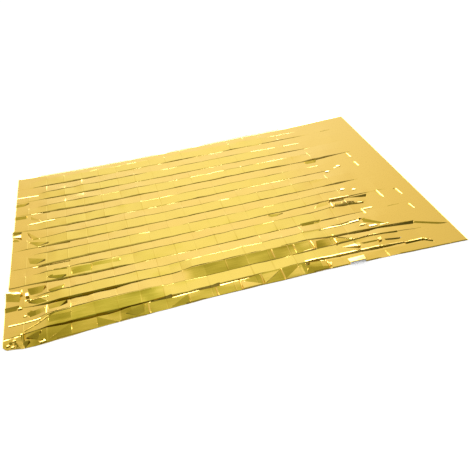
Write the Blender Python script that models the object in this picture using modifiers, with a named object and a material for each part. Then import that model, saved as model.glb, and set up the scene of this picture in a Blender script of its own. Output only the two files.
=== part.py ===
"""Emergency foil blanket, spread out straight from its packet: one thin sheet that
keeps the packet's lengthwise pleats, its cross folds and a few crumples.

Metres, +Z up. The pleats run along X, the sheet's long side. The origin is on the
floor, under the middle of the sheet's box. The sheet's lowest lines and its whole
+X end lie flat on the floor."""

from collections import namedtuple

import bmesh
import bpy
import numpy as np

MM = 0.001

# The cut sheet and the packet's folds
FLAT_LENGTH = 2.200
PANELS = 19
THICKNESS = 0.0015
FIRST_CROSS_FOLD = 0.073
CROSS_FOLD_PITCH = 0.1075
CROSS_FOLDS = 20

# How the folds stand
BROW_LEAN = 0.35
LEAST_STEP = 0.0030
CREASE_SHARE = 0.6
CROSS_FOLD_HEIGHT = 0.0016
CROSS_FOLD_SWAY = 0.0020
FLAT_END_FROM = 2.00
FLAT_END_TO = 2.06
CELL_INSET = 0.04
LOW_UNTIL = 0.11
STANDS_FROM = 0.21
SEED = 11

# Across the sheet, from the front edge to the back one. y_... is the fold's distance
# behind the front left corner, in millimetres, at the x that PLACES names. A pleat
# rises by rise_..., in millimetres, as a steep step with its foot on the floor, and a
# crease is a low ridge between two pleats. Both are flat from x = fades on, in metres.
PLACES = dict(start=0.0, left=0.105, quarter=0.419, middle=0.890, far=1.467, right=1.781, end=2.2)
Fold = namedtuple(
    "Fold",
    "kind y_start y_left y_quarter y_middle y_far y_right y_end rise_start rise_left rise_middle rise_right fades",
)
FOLDS = (
    Fold("edge", 2, -14, 10, 26, 26, 16, -4, 0, 0, 0, 0, 1.85),
    Fold("pleat", 72, 84, 89, 105, 110, 94, 77, 1, 10, 4, 6, 2.02),
    Fold("crease", 160, 162, 176, 186, 189, 194, 160, 0, 3, 3, 4, 2.05),
    Fold("pleat", 282, 257, 257, 265, 267, 251, 240, 0.5, 8, 4, 7, 2.02),
    Fold("crease", 335, 325, 332, 335, 335, 351, 326, 0, 4, 1.5, 3, 1.85),
    Fold("pleat", 432, 430, 414, 412, 414, 414, 408, 4, 7, 3.5, 4, 1.82),
    Fold("crease", 503, 503, 500, 497, 501, 508, 491, 0, 4, 1.5, 5, 1.90),
    Fold("pleat", 580, 576, 576, 573, 576, 581, 574, 0.5, 7, 3.5, 8, 1.95),
    Fold("crease", 685, 681, 665, 655, 655, 660, 656, 0, 3, 1.5, 1, 1.85),
    Fold("pleat", 745, 744, 741, 733, 733, 733, 739, 0.5, 6, 3.5, 11, 1.94),
    Fold("crease", 825, 828, 824, 820, 812, 812, 822, 0, 3, 1.5, 1, 1.85),
    Fold("pleat", 948, 917, 906, 896, 896, 890, 905, 0.5, 6, 3.5, 2, 1.92),
    Fold("crease", 1005, 995, 988, 980, 974, 974, 987, 0, 3, 1.5, 1, 1.85),
    Fold("pleat", 1112, 1100, 1074, 1063, 1063, 1048, 1070, 0.5, 6, 3.5, 11, 2.04),
    Fold("crease", 1166, 1163, 1152, 1150, 1142, 1131, 1153, 0, 3, 1.5, 1, 1.85),
    Fold("pleat", 1258, 1252, 1236, 1223, 1220, 1210, 1235, 0.5, 5, 3.5, 2, 1.90),
    Fold("crease", 1330, 1325, 1317, 1313, 1310, 1299, 1318, 0, 3, 1.5, 1, 1.85),
    Fold("pleat", 1420, 1414, 1404, 1399, 1393, 1388, 1401, 0.5, 5, 3.5, 2, 1.90),
    Fold("crease", 1500, 1493, 1482, 1479, 1472, 1461, 1483, 0, 3, 1.5, 1, 1.85),
    Fold("edge", 1571, 1563, 1545, 1535, 1550, 1547, 1571, 0, 0, 0, 0, 1.85),
)

# The flap in front of the first pleat: how high its rear ridge stands in each cell
# between two cross folds, in millimetres, from the left edge on
FLAP_HEIGHTS = (3, 10.5, 8.5, 5, 2, 9.5, 5.5, 4, 2.5, 4, 6, 9, 10, 9, 2, 1, 1.5, 2, 1.5, 0, 0)

# The distance from that ridge to the first pleat, in millimetres, at x
RidgePlace = namedtuple("RidgePlace", "x before")
RIDGE_PLACES = (
    RidgePlace(0.13, 10),
    RidgePlace(0.45, 14),
    RidgePlace(0.60, 8),
    RidgePlace(0.63, 3),
    RidgePlace(0.745, 20),
    RidgePlace(0.85, 4),
    RidgePlace(0.955, 18),
    RidgePlace(1.07, 3),
    RidgePlace(1.115, 14),
    RidgePlace(1.175, 3),
    RidgePlace(1.38, 4),
    RidgePlace(1.49, 20),
    RidgePlace(1.70, 22),
    RidgePlace(2.05, 22),
)

# Stretches where a fold is held off the floor, in metres, with the height in
# millimetres. Each one rises and dies away over SOFT_END.
SOFT_END = 0.12
Lift = namedtuple("Lift", "fold start end height")
LIFTS = (
    Lift(2, 0.10, 0.78, 7),
    Lift(3, 0.10, 0.78, 4),
    Lift(2, 0.78, 1.60, -8),
    Lift(3, 0.78, 1.60, 12),
    Lift(2, 1.70, 2.00, 3),
)

# The left edge isn't straight: its x at y, in millimetres. The sheet is sheared to it as
# far as the first cross fold
EdgePlace = namedtuple("EdgePlace", "y x")
LEFT_EDGE = (
    EdgePlace(-14, 24),
    EdgePlace(8, 0),
    EdgePlace(24, -12),
    EdgePlace(200, -15),
    EdgePlace(405, -16),
    EdgePlace(425, -6),
    EdgePlace(880, -5),
    EdgePlace(900, -9),
    EdgePlace(935, -9),
    EdgePlace(960, -2),
    EdgePlace(1571, 0),
)

# Crumples: the middle, the reach along X and Y, in metres, and the height in millimetres
Crumple = namedtuple("Crumple", "x y reach_x reach_y height")
CRUMPLES = (
    Crumple(0.035, 0.020, 0.045, 0.040, 13),
    Crumple(0.125, 0.030, 0.030, 0.050, 7),
    Crumple(0.000, 0.425, 0.050, 0.035, 7),
    Crumple(0.210, 0.440, 0.060, 0.035, 5),
    Crumple(0.000, 0.280, 0.050, 0.030, 6),
    Crumple(0.110, 0.650, 0.050, 0.035, 4),
    Crumple(0.020, 0.900, 0.045, 0.040, 7),
    Crumple(0.020, 1.110, 0.045, 0.030, 5),
    Crumple(0.020, 1.258, 0.045, 0.030, 5),
    Crumple(1.660, 0.560, 0.050, 0.035, 5),
    Crumple(1.800, 0.310, 0.090, 0.040, 5),
)

GOLD = (1.0, 0.73, 0.17, 1.0)
FOIL_ROUGHNESS = 0.12


def eased(low, high, value):
    """0 below low, 1 above high, and a soft S between."""
    t = np.clip((value - low) / (high - low), 0.0, 1.0)
    return t * t * (3.0 - 2.0 * t)


def along_stretch(start, end, x):
    """1 from start to end, with a soft rise and fall inside them."""
    return float(eased(start, start + SOFT_END, x) * (1.0 - eased(end - SOFT_END, end, x)))


def cross_folds():
    """The x of each cross fold."""
    return FIRST_CROSS_FOLD + CROSS_FOLD_PITCH * np.arange(CROSS_FOLDS)


def left_edge_x(x, y):
    """x moved for the left edge's jogs, at the sheet's place x, y."""
    jog = np.interp(y, [place.y * MM for place in LEFT_EDGE], [place.x * MM for place in LEFT_EDGE])
    return x + jog * np.clip(1.0 - x / FIRST_CROSS_FOLD, 0.0, 1.0)


def cell_ends():
    """The x of both edges and of the cross folds between them."""
    return np.concatenate([[0.0], cross_folds(), [FLAT_LENGTH]])


def stations():
    """The x of each section: both ends, the cross folds and the middles between them."""
    ends = cell_ends()
    return np.sort(np.concatenate([ends, (ends[1:] + ends[:-1]) / 2]))


def fold_y(fold, x):
    """The y of a fold at x."""
    heights = [getattr(fold, "y_" + place) * MM for place in PLACES]
    return float(np.interp(x, list(PLACES.values()), heights))


def fold_rise(fold, x):
    """How far a fold stands up at x."""
    quarter, middle, far, right = (PLACES[name] for name in ("quarter", "middle", "far", "right"))
    places = (LOW_UNTIL, STANDS_FROM, quarter, middle, far, right, fold.fades)
    rises = (fold.rise_start, *(fold.rise_left,) * 2, *(fold.rise_middle,) * 2, fold.rise_right, 0.0)
    return float(np.interp(x, places, rises)) * MM


def fold_lift(number, x):
    """How far a fold is held off the floor at x."""
    rows = [row for row in LIFTS if row.fold == number]
    return sum(row.height * MM * along_stretch(row.start, row.end, x) for row in rows)


def flap_height(x):
    """How high the flap's rear ridge stands at x: even in each cell between cross folds."""
    ends = cell_ends()
    inset = CELL_INSET * np.diff(ends)
    inner = np.stack([ends[:-1] + inset, ends[1:] - inset], axis=1).ravel()
    return float(np.interp(x, inner, np.repeat(FLAP_HEIGHTS, 2))) * MM


def crumple_height(x, y):
    """The height that the crumples add at one place."""
    total = 0.0
    for row in CRUMPLES:
        distance = ((x - row.x) / row.reach_x) ** 2 + ((y - row.y) / row.reach_y) ** 2
        total += row.height * MM * float(np.exp(-1.5 * distance))
    return total if total > 0.2 * MM else 0.0


def section(x, sway):
    """The sheet's line across at x, as (y, z) pairs. sway holds one number from -1 to 1
    for each fold, which moves that fold where a cross fold passes over it."""
    live = 1.0 - float(eased(FLAT_END_FROM, FLAT_END_TO, x))
    y_of = [fold_y(fold, x) + CROSS_FOLD_SWAY * sway[number] * live for number, fold in enumerate(FOLDS)]
    rise_of = [fold_rise(fold, x) for fold in FOLDS]
    feet, brows = {}, {}
    for number, fold in enumerate(FOLDS):
        if fold.kind == "crease":
            continue
        foot = fold_lift(number, x)
        step = max(LEAST_STEP, BROW_LEAN * rise_of[number]) if fold.kind == "pleat" else 0.0
        wobble = CROSS_FOLD_HEIGHT * max(sway[number], 0.0) * live if fold.kind == "pleat" else 0.0
        feet[number] = (y_of[number], foot)
        brows[number] = (y_of[number] + step, foot + rise_of[number] + wobble)
    line = [feet[0]]
    before = float(np.interp(x, [row.x for row in RIDGE_PLACES], [row.before for row in RIDGE_PLACES])) * MM
    line.append((y_of[1] - before, flap_height(x)))
    for number, fold in enumerate(FOLDS[1:-1], start=1):
        if fold.kind == "pleat":
            line += [feet[number], brows[number]]
            continue
        before, after = brows[number - 1], feet.get(number + 1, (fold_y(FOLDS[-1], x), 0.0))
        share = (y_of[number] - before[0]) / (after[0] - before[0])
        low = before[1] + share * (after[1] - before[1])
        bump = CREASE_SHARE * rise_of[number] + CROSS_FOLD_HEIGHT * sway[number] * live
        line.append((y_of[number], max(low + bump + fold_lift(number, x), 0.0)))
    line.append(feet[PANELS])
    return [(y, z + crumple_height(x, y)) for y, z in line]


def sheet_points():
    """The underside's points, as an array of sections, centred on the sheet's own box."""
    rng = np.random.default_rng(SEED)
    folded = cross_folds()
    rows = []
    for x in stations():
        sway = rng.uniform(-1.0, 1.0, len(FOLDS))
        on_fold = np.isclose(folded, x).any()
        line = section(x, sway if on_fold else 0.2 * sway)
        rows.append([(float(left_edge_x(x, y)), y, z) for y, z in line])
    points = np.array(rows)
    middle = (points.min(axis=(0, 1)) + points.max(axis=(0, 1))) / 2
    points[:, :, :2] -= middle[:2]
    return points


def foil_material():
    material = bpy.data.materials.new("gold_foil")
    material.use_nodes = True
    shader = material.node_tree.nodes["Principled BSDF"]
    shader.inputs["Base Color"].default_value = GOLD
    shader.inputs["Metallic"].default_value = 1.0
    shader.inputs["Roughness"].default_value = FOIL_ROUGHNESS
    return material


def foil_sheet(collection):
    """The sheet: a grid laid over the sections, then given its thickness upwards."""
    points = sheet_points()
    along, across = points.shape[0] - 1, points.shape[1] - 1
    mesh = bpy.data.meshes.new("foil_sheet")
    grid = bmesh.new()
    bmesh.ops.create_grid(grid, x_segments=along, y_segments=across, size=0.5)
    for vertex in grid.verts:
        i = round((vertex.co.x + 0.5) * along)
        j = round((vertex.co.y + 0.5) * across)
        vertex.co = points[i, j]
    bmesh.ops.triangulate(grid, faces=grid.faces[:], quad_method="SHORT_EDGE")
    grid.to_mesh(mesh)
    grid.free()
    sheet = bpy.data.objects.new("foil_sheet", mesh)
    collection.objects.link(sheet)
    thick = sheet.modifiers.new("Thickness", "SOLIDIFY")
    thick.thickness = THICKNESS
    thick.offset = 1.0
    thick.use_even_offset = True
    mesh.materials.append(foil_material())
    return sheet


def main():
    for old in list(bpy.data.objects):
        bpy.data.objects.remove(old, do_unlink=True)
    collection = bpy.data.collections.new("Emergency foil blanket")
    bpy.context.scene.collection.children.link(collection)
    foil_sheet(collection)


main()
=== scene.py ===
"""Emergency foil blanket, dressed: a thin film, gold on top and silver below, spread
out straight from its packet on a pale studio floor.

Metres, +Z up, in the frame of the solid part. The sheet follows the solid's pleats and
creases from the same measures, with finer folds, crumples and a foil finish."""

from collections import defaultdict, namedtuple

import bmesh
import bpy
import numpy as np
from bpy.props import FloatProperty, FloatVectorProperty, IntProperty, PointerProperty
from mathutils import Matrix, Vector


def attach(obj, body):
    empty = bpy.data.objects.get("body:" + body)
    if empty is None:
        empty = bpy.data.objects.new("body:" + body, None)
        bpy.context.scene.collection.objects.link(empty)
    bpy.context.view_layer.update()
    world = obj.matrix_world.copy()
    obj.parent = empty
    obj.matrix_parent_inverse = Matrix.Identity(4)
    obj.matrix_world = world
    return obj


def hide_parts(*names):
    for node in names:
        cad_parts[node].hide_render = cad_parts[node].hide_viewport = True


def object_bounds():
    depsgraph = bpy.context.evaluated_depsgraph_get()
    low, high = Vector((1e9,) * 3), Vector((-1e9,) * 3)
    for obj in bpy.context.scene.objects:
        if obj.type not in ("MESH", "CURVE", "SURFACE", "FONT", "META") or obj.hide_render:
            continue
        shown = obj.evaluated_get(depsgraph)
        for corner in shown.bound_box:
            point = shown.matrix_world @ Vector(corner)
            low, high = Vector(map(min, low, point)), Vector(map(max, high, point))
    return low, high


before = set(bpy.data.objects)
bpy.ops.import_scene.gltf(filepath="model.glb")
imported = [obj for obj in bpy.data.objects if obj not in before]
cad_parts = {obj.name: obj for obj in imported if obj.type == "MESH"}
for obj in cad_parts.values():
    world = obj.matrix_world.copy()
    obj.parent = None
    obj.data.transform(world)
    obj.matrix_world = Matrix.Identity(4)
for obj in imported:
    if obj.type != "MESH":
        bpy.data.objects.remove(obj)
SOLID_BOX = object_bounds()

bl_info = {
    "name": "Emergency Foil Blanket",
    "version": (1, 0, 0),
    "blender": (4, 5, 0),
    "location": "3D View > Sidebar > Foil Blanket",
    "description": "A creased gold foil blanket spread out on a studio floor",
    "category": "Add Mesh",
}

MM = 0.001

# The cut sheet and the packet's folds, as in the solid
FLAT_LENGTH = 2.200
PANELS = 19
FIRST_CROSS_FOLD = 0.073
CROSS_FOLD_PITCH = 0.1075
CROSS_FOLDS = 20
BROW_LEAN = 0.35
LEAST_STEP = 0.0030
CREASE_SHARE = 0.6
CROSS_FOLD_HEIGHT = 0.0016
CROSS_FOLD_SWAY = 0.0020
FLAT_END_FROM = 2.00
FLAT_END_TO = 2.06
CELL_INSET = 0.04
LOW_UNTIL = 0.11
STANDS_FROM = 0.21
SWAY_BETWEEN = 0.2
FLAP_SHARE = 0.75
SEED = 11

# Each fold's y and rise at these places along x, in millimetres, and the x in metres at
# which it has died out
PLACES = dict(start=0.0, left=0.105, quarter=0.419, middle=0.890, far=1.467, right=1.781, end=2.2)
Fold = namedtuple(
    "Fold",
    "kind y_start y_left y_quarter y_middle y_far y_right y_end "
    "rise_start rise_left rise_middle rise_right fades",
)
FOLDS = (
    Fold("edge", 2, -14, 10, 26, 26, 16, -4, 0, 0, 0, 0, 1.85),
    Fold("pleat", 72, 84, 89, 105, 110, 94, 77, 1, 10, 4, 6, 2.02),
    Fold("crease", 160, 162, 176, 186, 189, 194, 160, 0, 3, 3, 4, 2.05),
    Fold("pleat", 282, 257, 257, 265, 267, 251, 240, 0.5, 8, 4, 7, 2.02),
    Fold("crease", 335, 325, 332, 335, 335, 351, 326, 0, 4, 1.5, 3, 1.85),
    Fold("pleat", 432, 430, 414, 412, 414, 414, 408, 4, 7, 3.5, 4, 1.82),
    Fold("crease", 503, 503, 500, 497, 501, 508, 491, 0, 4, 1.5, 5, 1.90),
    Fold("pleat", 580, 576, 576, 573, 576, 581, 574, 0.5, 7, 3.5, 8, 1.95),
    Fold("crease", 685, 681, 665, 655, 655, 660, 656, 0, 3, 1.5, 1, 1.85),
    Fold("pleat", 745, 744, 741, 733, 733, 733, 739, 0.5, 6, 3.5, 11, 1.94),
    Fold("crease", 825, 828, 824, 820, 812, 812, 822, 0, 3, 1.5, 1, 1.85),
    Fold("pleat", 948, 917, 906, 896, 896, 890, 905, 0.5, 6, 3.5, 2, 1.92),
    Fold("crease", 1005, 995, 988, 980, 974, 974, 987, 0, 3, 1.5, 1, 1.85),
    Fold("pleat", 1112, 1100, 1074, 1063, 1063, 1048, 1070, 0.5, 6, 3.5, 11, 2.04),
    Fold("crease", 1166, 1163, 1152, 1150, 1142, 1131, 1153, 0, 3, 1.5, 1, 1.85),
    Fold("pleat", 1258, 1252, 1236, 1223, 1220, 1210, 1235, 0.5, 5, 3.5, 2, 1.90),
    Fold("crease", 1330, 1325, 1317, 1313, 1310, 1299, 1318, 0, 3, 1.5, 1, 1.85),
    Fold("pleat", 1420, 1414, 1404, 1399, 1393, 1388, 1401, 0.5, 5, 3.5, 2, 1.90),
    Fold("crease", 1500, 1493, 1482, 1479, 1472, 1461, 1483, 0, 3, 1.5, 1, 1.85),
    Fold("edge", 1571, 1563, 1545, 1535, 1550, 1547, 1571, 0, 0, 0, 0, 1.85),
)

# Where a fold is held off the floor, from start to end along x, and by how many
# millimetres. A negative height presses it down
SOFT_END = 0.12
Lift = namedtuple("Lift", "fold start end height")
LIFTS = (
    Lift(2, 0.10, 0.78, 7),
    Lift(3, 0.10, 0.78, 4),
    Lift(2, 0.78, 1.60, -8),
    Lift(3, 0.78, 1.60, 12),
    Lift(2, 1.70, 2.00, 3),
)

# The flap in front of the first pleat: how high its rear ridge stands in each cell
# between two cross folds, in millimetres, from the left edge on
FLAP_HEIGHTS = (3, 10.5, 8.5, 5, 2, 9.5, 5.5, 4, 2.5, 4, 6, 9, 10, 9, 2, 1, 1.5, 2, 1.5, 0, 0)

# The distance from that ridge to the first pleat, in millimetres, at x
RidgePlace = namedtuple("RidgePlace", "x before")
RIDGE_PLACES = (
    RidgePlace(0.13, 10),
    RidgePlace(0.45, 14),
    RidgePlace(0.60, 8),
    RidgePlace(0.63, 3),
    RidgePlace(0.745, 20),
    RidgePlace(0.85, 4),
    RidgePlace(0.955, 18),
    RidgePlace(1.07, 3),
    RidgePlace(1.115, 14),
    RidgePlace(1.175, 3),
    RidgePlace(1.38, 4),
    RidgePlace(1.49, 20),
    RidgePlace(1.70, 22),
    RidgePlace(2.05, 22),
)

# Where the ridge leans towards the back instead: from and to along x, that slope, how far
# it reaches, and how much of the kinks is left in the lines before this one
FACED_FROM = 0.73
FACED_TO = 1.13
FACED_SLOPE = 0.27
FACED_LEAST = 0.009
FACED_SHARE = 0.55
FACED_KINKS = 0.2
FACED_BEFORE_LINE = 3

# The left edge isn't straight: its x at y, in millimetres. The sheet is sheared to it as
# far as the first cross fold
EdgePlace = namedtuple("EdgePlace", "y x")
LEFT_EDGE = (
    EdgePlace(-14, 24),
    EdgePlace(8, 0),
    EdgePlace(24, -12),
    EdgePlace(200, -15),
    EdgePlace(405, -16),
    EdgePlace(425, -6),
    EdgePlace(880, -5),
    EdgePlace(900, -9),
    EdgePlace(935, -9),
    EdgePlace(960, -2),
    EdgePlace(1571, 0),
)

# How far a facet slopes back down at its front and sides, how wide and in what squares the
# faces near it are looked for, and how close to a cut a point lies on it
SKIRT = 0.0015
FACET_MARGIN = 0.030
FACET_SEARCH = 0.03
CUT_TOLERANCE = 1e-5

# The film's flat facets, in millimetres: the x range of the front and back edge, their y
# at the front edge's left end and their slant (y gained along x). The lean is in degrees,
# above 0 towards the front and below 0 towards the back, and so is the side, above 0 where
# the facet rises to the right. Each slopes back down in the reach behind it
Facet = namedtuple(
    "Facet",
    "front_left front_right back_left back_right front back slant lean side behind",
    defaults=(0, 2),
)
FACETS = (
    # The crumpled left end, from the front left corner to the back
    Facet(5, 20, 8, 14, 20, 34, 0.3, -16),
    Facet(25, 40, 30, 34, 8, 20, 0.2, -16),
    Facet(14, 30, 18, 26, 30, 44, 0, 16),
    Facet(38, 54, 40, 46, 24, 38, -0.2, 16),
    Facet(30, 44, 34, 40, 46, 58, 0, -16),
    Facet(45, 58, 50, 56, 6, 18, 0.1, 14),
    Facet(76, 82, 65, 82, 12, 76, 0, 8),
    Facet(137, 137, 93, 153, 23, 58, 0.3, 9, 0, 3),
    Facet(150, 176, 142, 166, -4, 15, 0.1, -24),
    Facet(82, 86, 80, 104, -10, 22, 0, 14, 0, 3),
    Facet(8, 152, 8, 152, 152, 160, 0, -17),
    Facet(190, 288, 187, 288, 110, 148, -0.05, 3, 0, 3),
    Facet(182, 285, 182, 285, 163, 171, 0.05, -17),
    Facet(76, 186, 76, 186, 308, 315, -0.05, -17),
    Facet(80, 230, 80, 230, 92, 98, 0.5, 14, 0, 3),
    Facet(101, 175, 90, 170, 186, 216, 0.1, 12, 0, 3),
    Facet(190, 236, 187, 272, 198, 232, 0, 14, 0, 3),
    Facet(72, 86, 79, 79, 199, 211, 0, -16),
    Facet(-16, 37, -16, 48, 256, 284, 0, 11, 0, 3),
    Facet(45, 64, 54, 54, 260, 279, 0, -15),
    Facet(-18, 50, -18, 56, 342, 394, -0.42, 9, 0, 24),
    Facet(80, 94, 76, 88, 336, 372, 0, -16),
    Facet(58, 63, 54, 60, 358, 402, 0, 0, 29),
    Facet(101, 155, 88, 172, 348, 392, -0.05, 11, 0, 3),
    Facet(134, 184, 94, 150, 266, 296, 0, 11, 0, 3),
    Facet(204, 252, 190, 262, 322, 346, 0.2, 13, 0, 3),
    Facet(241, 241, 187, 272, 418, 446, -0.2, 10, 0, 3),
    Facet(212, 280, 212, 280, 500, 507, -0.15, 14),
    Facet(93, 124, 85, 168, 608, 650, -0.47, 8, 0, 3),
    Facet(129, 129, 88, 185, 754, 788, -0.36, 8, 0, 3),
    Facet(108, 141, 76, 80, 820, 895, 0, 8, 0, 3),
    Facet(-8, 30, -8, 20, 848, 866, -0.3, 9),
    Facet(40, 41, -9, 35, 865, 908, 0.2, -12, 0, 3),
    Facet(0, 1, -14, 38, 912, 936, -0.27, 13, 0, 3),
    Facet(83, 147, 90, 92, 1043, 1070, -0.6, 9, 0, 3),
    Facet(-4, 62, -5, 65, 1070, 1096, -0.12, 11, 0, 3),
    Facet(-3, 44, -3, 72, 1210, 1236, 0, 10, 0, 3),
    Facet(110, 205, 110, 205, 564, 572, 0, -14),
    Facet(135, 295, 135, 295, 560, 567, -0.02, -14),
    Facet(133, 300, 133, 300, 742, 749, -0.08, -14),
    Facet(84, 224, 84, 224, 989, 996, -0.06, -13),
    Facet(92, 196, 92, 196, 1095, 1102, -0.11, -13),
    Facet(3, 128, 3, 128, 1314, 1321, -0.11, -12),
    # The right end, where the folds die out
    Facet(1812, 1916, 1921, 1922, 570, 583, -0.25, 36, 0, 10),
    Facet(1719, 1877, 1719, 1877, 508, 512, -0.12, 45, 0, 10),
    Facet(1735, 1767, 1727, 1760, 514, 532, 0, 11, 0, 3),
    Facet(1722, 1790, 1722, 1790, 562, 570, -0.1, -13),
    Facet(1770, 1832, 1770, 1832, 528, 536, -0.2, -13),
    Facet(1703, 1709, 1710, 1716, 502, 582, 0, 0, -22.5),
    Facet(1488, 1550, 1495, 1566, 399, 415, 0, 10, 0, 3),
    Facet(1728, 1780, 1724, 1800, 334, 350, 0.03, -14),
    Facet(1785, 1800, 1785, 1800, 349, 353, 0, 45, 0, 8),
    Facet(1795, 1916, 1802, 1806, 317, 350, -0.52, 10, 0, 18),
    Facet(1833, 2024, 2030, 2031, 245, 260, -0.15, 36, 0, 10),
    Facet(2030, 2130, 2039, 2170, 222, 236, -0.5, 12, 0, 4),
    Facet(1638, 1728, 1728, 1730, 260, 268, -0.16, 36, 0, 8),
    Facet(1493, 1595, 1506, 1597, 186, 236, 0.12, 9, 0, 3),
    Facet(1596, 1602, 1604, 1610, 192, 268, 0, 0, -24.5),
    Facet(1604, 1703, 1613, 1616, 193, 234, 0, 10, 0, 3),
    Facet(1622, 1690, 1622, 1690, 246, 254, -0.7, -13),
    Facet(1599, 1768, 1599, 1768, 186, 189, 0.02, 45, 0, 8),
    Facet(1768, 1917, 1768, 1917, 189, 192, -0.08, 45, 0, 8),
    Facet(1692, 1696, 1609, 1704, 132, 164, 0.08, -14),
    Facet(1724, 1780, 1714, 1794, 144, 153, -0.1, 14, 0, 3),
    Facet(1800, 1812, 1799, 1820, 134, 162, 0.2, -14),
    Facet(1845, 1890, 1836, 1902, 128, 135, -0.15, 34, 0, 6),
    Facet(1911, 2003, 1911, 2003, 73, 79, 0, 42, 0, 12),
    Facet(2003, 2042, 2003, 2042, 74, 79, -0.7, 42, 0, 12),
    Facet(1502, 1508, 1498, 1504, 24, 78, 0, 0, -25.5),
    Facet(1508, 1512, 1508, 1522, 44, 72, 0, -15),
    Facet(1597, 1670, 1602, 1686, 5, 68, 0, -15.5),
    Facet(1560, 1722, 1590, 1722, 332, 341, 0, -14),
    Facet(1765, 1800, 1775, 1790, 290, 305, 0, -12),
    Facet(1805, 1850, 1815, 1845, 266, 280, 0, -13),
    Facet(1866, 1912, 1868, 1908, 262, 271, 0, -12),
    Facet(1716, 1830, 1716, 1830, 585, 591, -0.05, -20),
    Facet(1425, 1490, 1425, 1490, 190, 197, 0.05, -18),
    Facet(1384, 1493, 1404, 1496, 33, 76, -0.25, 3, 0, 3),
    Facet(1794, 1799, 1794, 1799, 18, 64, 0, 0, -22.5),
    Facet(1999, 2004, 1993, 1998, 503, 578, 0, 0, -21.5),
    Facet(2104, 2109, 2098, 2103, 492, 556, 0, 0, -20.5),
    Facet(2098, 2103, 2090, 2095, 345, 390, 0, 0, -21.5),
    Facet(1851, 1900, 1853, 1900, 432, 442, 0, -13),
    Facet(1843, 1848, 1838, 1843, 392, 438, 0, 0, -22.5),
    Facet(1895, 1920, 1902, 1912, 915, 930, 0, -12),
    Facet(1810, 1838, 1818, 1830, 878, 893, 0, -12),
    Facet(1810, 1838, 1818, 1830, 652, 668, 0, -12),
    Facet(1876, 1896, 1880, 1888, 632, 646, 0, -12),
    Facet(2020, 2026, 2014, 2020, 878, 926, 0, 0, -21.5),
    Facet(2021, 2027, 2012, 2018, 993, 1042, 0, 0, -21.5),
    Facet(1745, 1800, 1739, 1812, 1016, 1041, 0, 11, 0, 3),
    Facet(1405, 1780, 1405, 1780, 114, 124, -0.051, -15),
    Facet(1782, 1900, 1782, 1900, 96, 104, -0.07, -13),
    # The flap and the first panels between the ends
    Facet(190, 285, 285, 286, 12, 72, 0, 3),
    Facet(400, 500, 400, 402, 12, 70, 0, 4),
    Facet(579, 612, 530, 620, 26, 72, 0.4, 4, 0, 3),
    Facet(725, 820, 819, 820, 22, 80, 0, 4),
    Facet(866, 972, 968, 976, 94, 105, -0.03, 50, 0, 6),
    Facet(640, 744, 741, 747, 86, 97, 0.02, 52, 0, 6),
    Facet(1397, 1399, 1399, 1416, 82, 92, 0, 50, 0, 6),
    Facet(1075, 1165, 1075, 1077, 34, 88, 0, -4),
    Facet(1180, 1181, 1180, 1270, 34, 96, 0, -4),
    Facet(1285, 1375, 1375, 1376, 32, 100, 0, -4),
    Facet(632, 637, 634, 639, 22, 84, 0, 0, -35.5),
    Facet(950, 955, 952, 957, 32, 90, 0, 0, -32.5),
    Facet(1066, 1071, 1068, 1073, 32, 96, 0, 0, -31.5),
    Facet(1170, 1175, 1172, 1177, 32, 96, 0, 0, -29.5),
    Facet(1275, 1280, 1273, 1278, 28, 100, 0, 0, -28.5),
    Facet(1276, 1281, 1274, 1279, 196, 256, 0, 0, -28.5),
    Facet(1391, 1396, 1389, 1394, 198, 258, 0, 0, -27.5),
    Facet(1484, 1490, 1479, 1485, 198, 252, 0, 0, -26.5),
    # Faint darker patches
    Facet(1480, 1584, 1489, 1600, 403, 423, -0.01, 10, 0, 3),
    Facet(1469, 1562, 1477, 1582, 333, 346, -0.04, 9, 0, 3),
    Facet(1615, 1691, 1652, 1709, 537, 571, 0, 9, 0, 3),
    Facet(1373, 1394, 1358, 1436, 547, 568, -0.13, 9, 0, 3),
    Facet(303, 399, 300, 400, 435, 482, -0.02, 6, 0, 3),
    Facet(407, 541, 405, 544, 465, 489, -0.07, 6, 0, 3),
)

# How the fine sheet is divided: along each cell between cross folds, across each panel,
# and up each pleat's step
CellSteps = namedtuple("CellSteps", "start steps")
CELL_STEPS = (
    CellSteps(0.00, (0.035, 0.20, 0.36, 0.52, 0.68, 0.84, 0.965)),
    CellSteps(0.28, (0.035, 0.27, 0.50, 0.73, 0.965)),
    CellSteps(2.00, (0.035, 0.35, 0.65, 0.965)),
)
RIM_FROM = 0.78
RIM_TOP = 0.965
PANEL_STEPS = (0.0, 0.03, 0.08, 0.20, 0.40, 0.60, RIM_FROM, 0.93, RIM_TOP)
FLAP_STEPS = (0.0, 0.17, 0.33, 0.50, 0.67, 0.84)
REAR_STEPS = (0.0, 0.3, 0.5, 0.7, 0.85)
RISER_STEPS = (0.0, 0.5)
RISER_SHARE = 0.06

# The kinks in every fold: how far apart they are, how far they sway and lift, how high a
# fold stands where they lift it fully, and where they fade out along x
KINK_PITCH = 0.036
KINK_SWAY = 0.0012
KINK_HEIGHT = 0.0012
KINK_FULL_AT = 0.003
KINKS_FADE = (1.85, 2.02)
KINK_SEED = 21

# Where a fold's edge is turned back instead of standing up, and how far it drops there
TURN_PITCH = 0.17
TURN_SHARE = 0.35
TURN_STEEPNESS = 1.5
TURN_DROP = 0.75
TURNS_OVER = (0.30, 0.60)
TURN_SEED = 14

# The pleats' height from the first upper fold on, as a share of the solid's
FIRST_UPPER = 5
UPPER_RISE = 0.75

# The creases' own steps: their strength, how much it varies, and the rear one's share
STEP_STRENGTH = 0.9
STEP_VARIES = 0.5
REAR_RISE = 0.3
STEP_SEED = 3

# The rim along a panel's rear edge: its height, its strength and how much that varies, and
# where it ends along x
RIM_HEIGHT = 0.0007
RIM_STRENGTH = 0.7
RIM_VARIES = 0.6
RIM_END = 1.9
RIM_FADE = 0.1
RIM_SEED = 5

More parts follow.
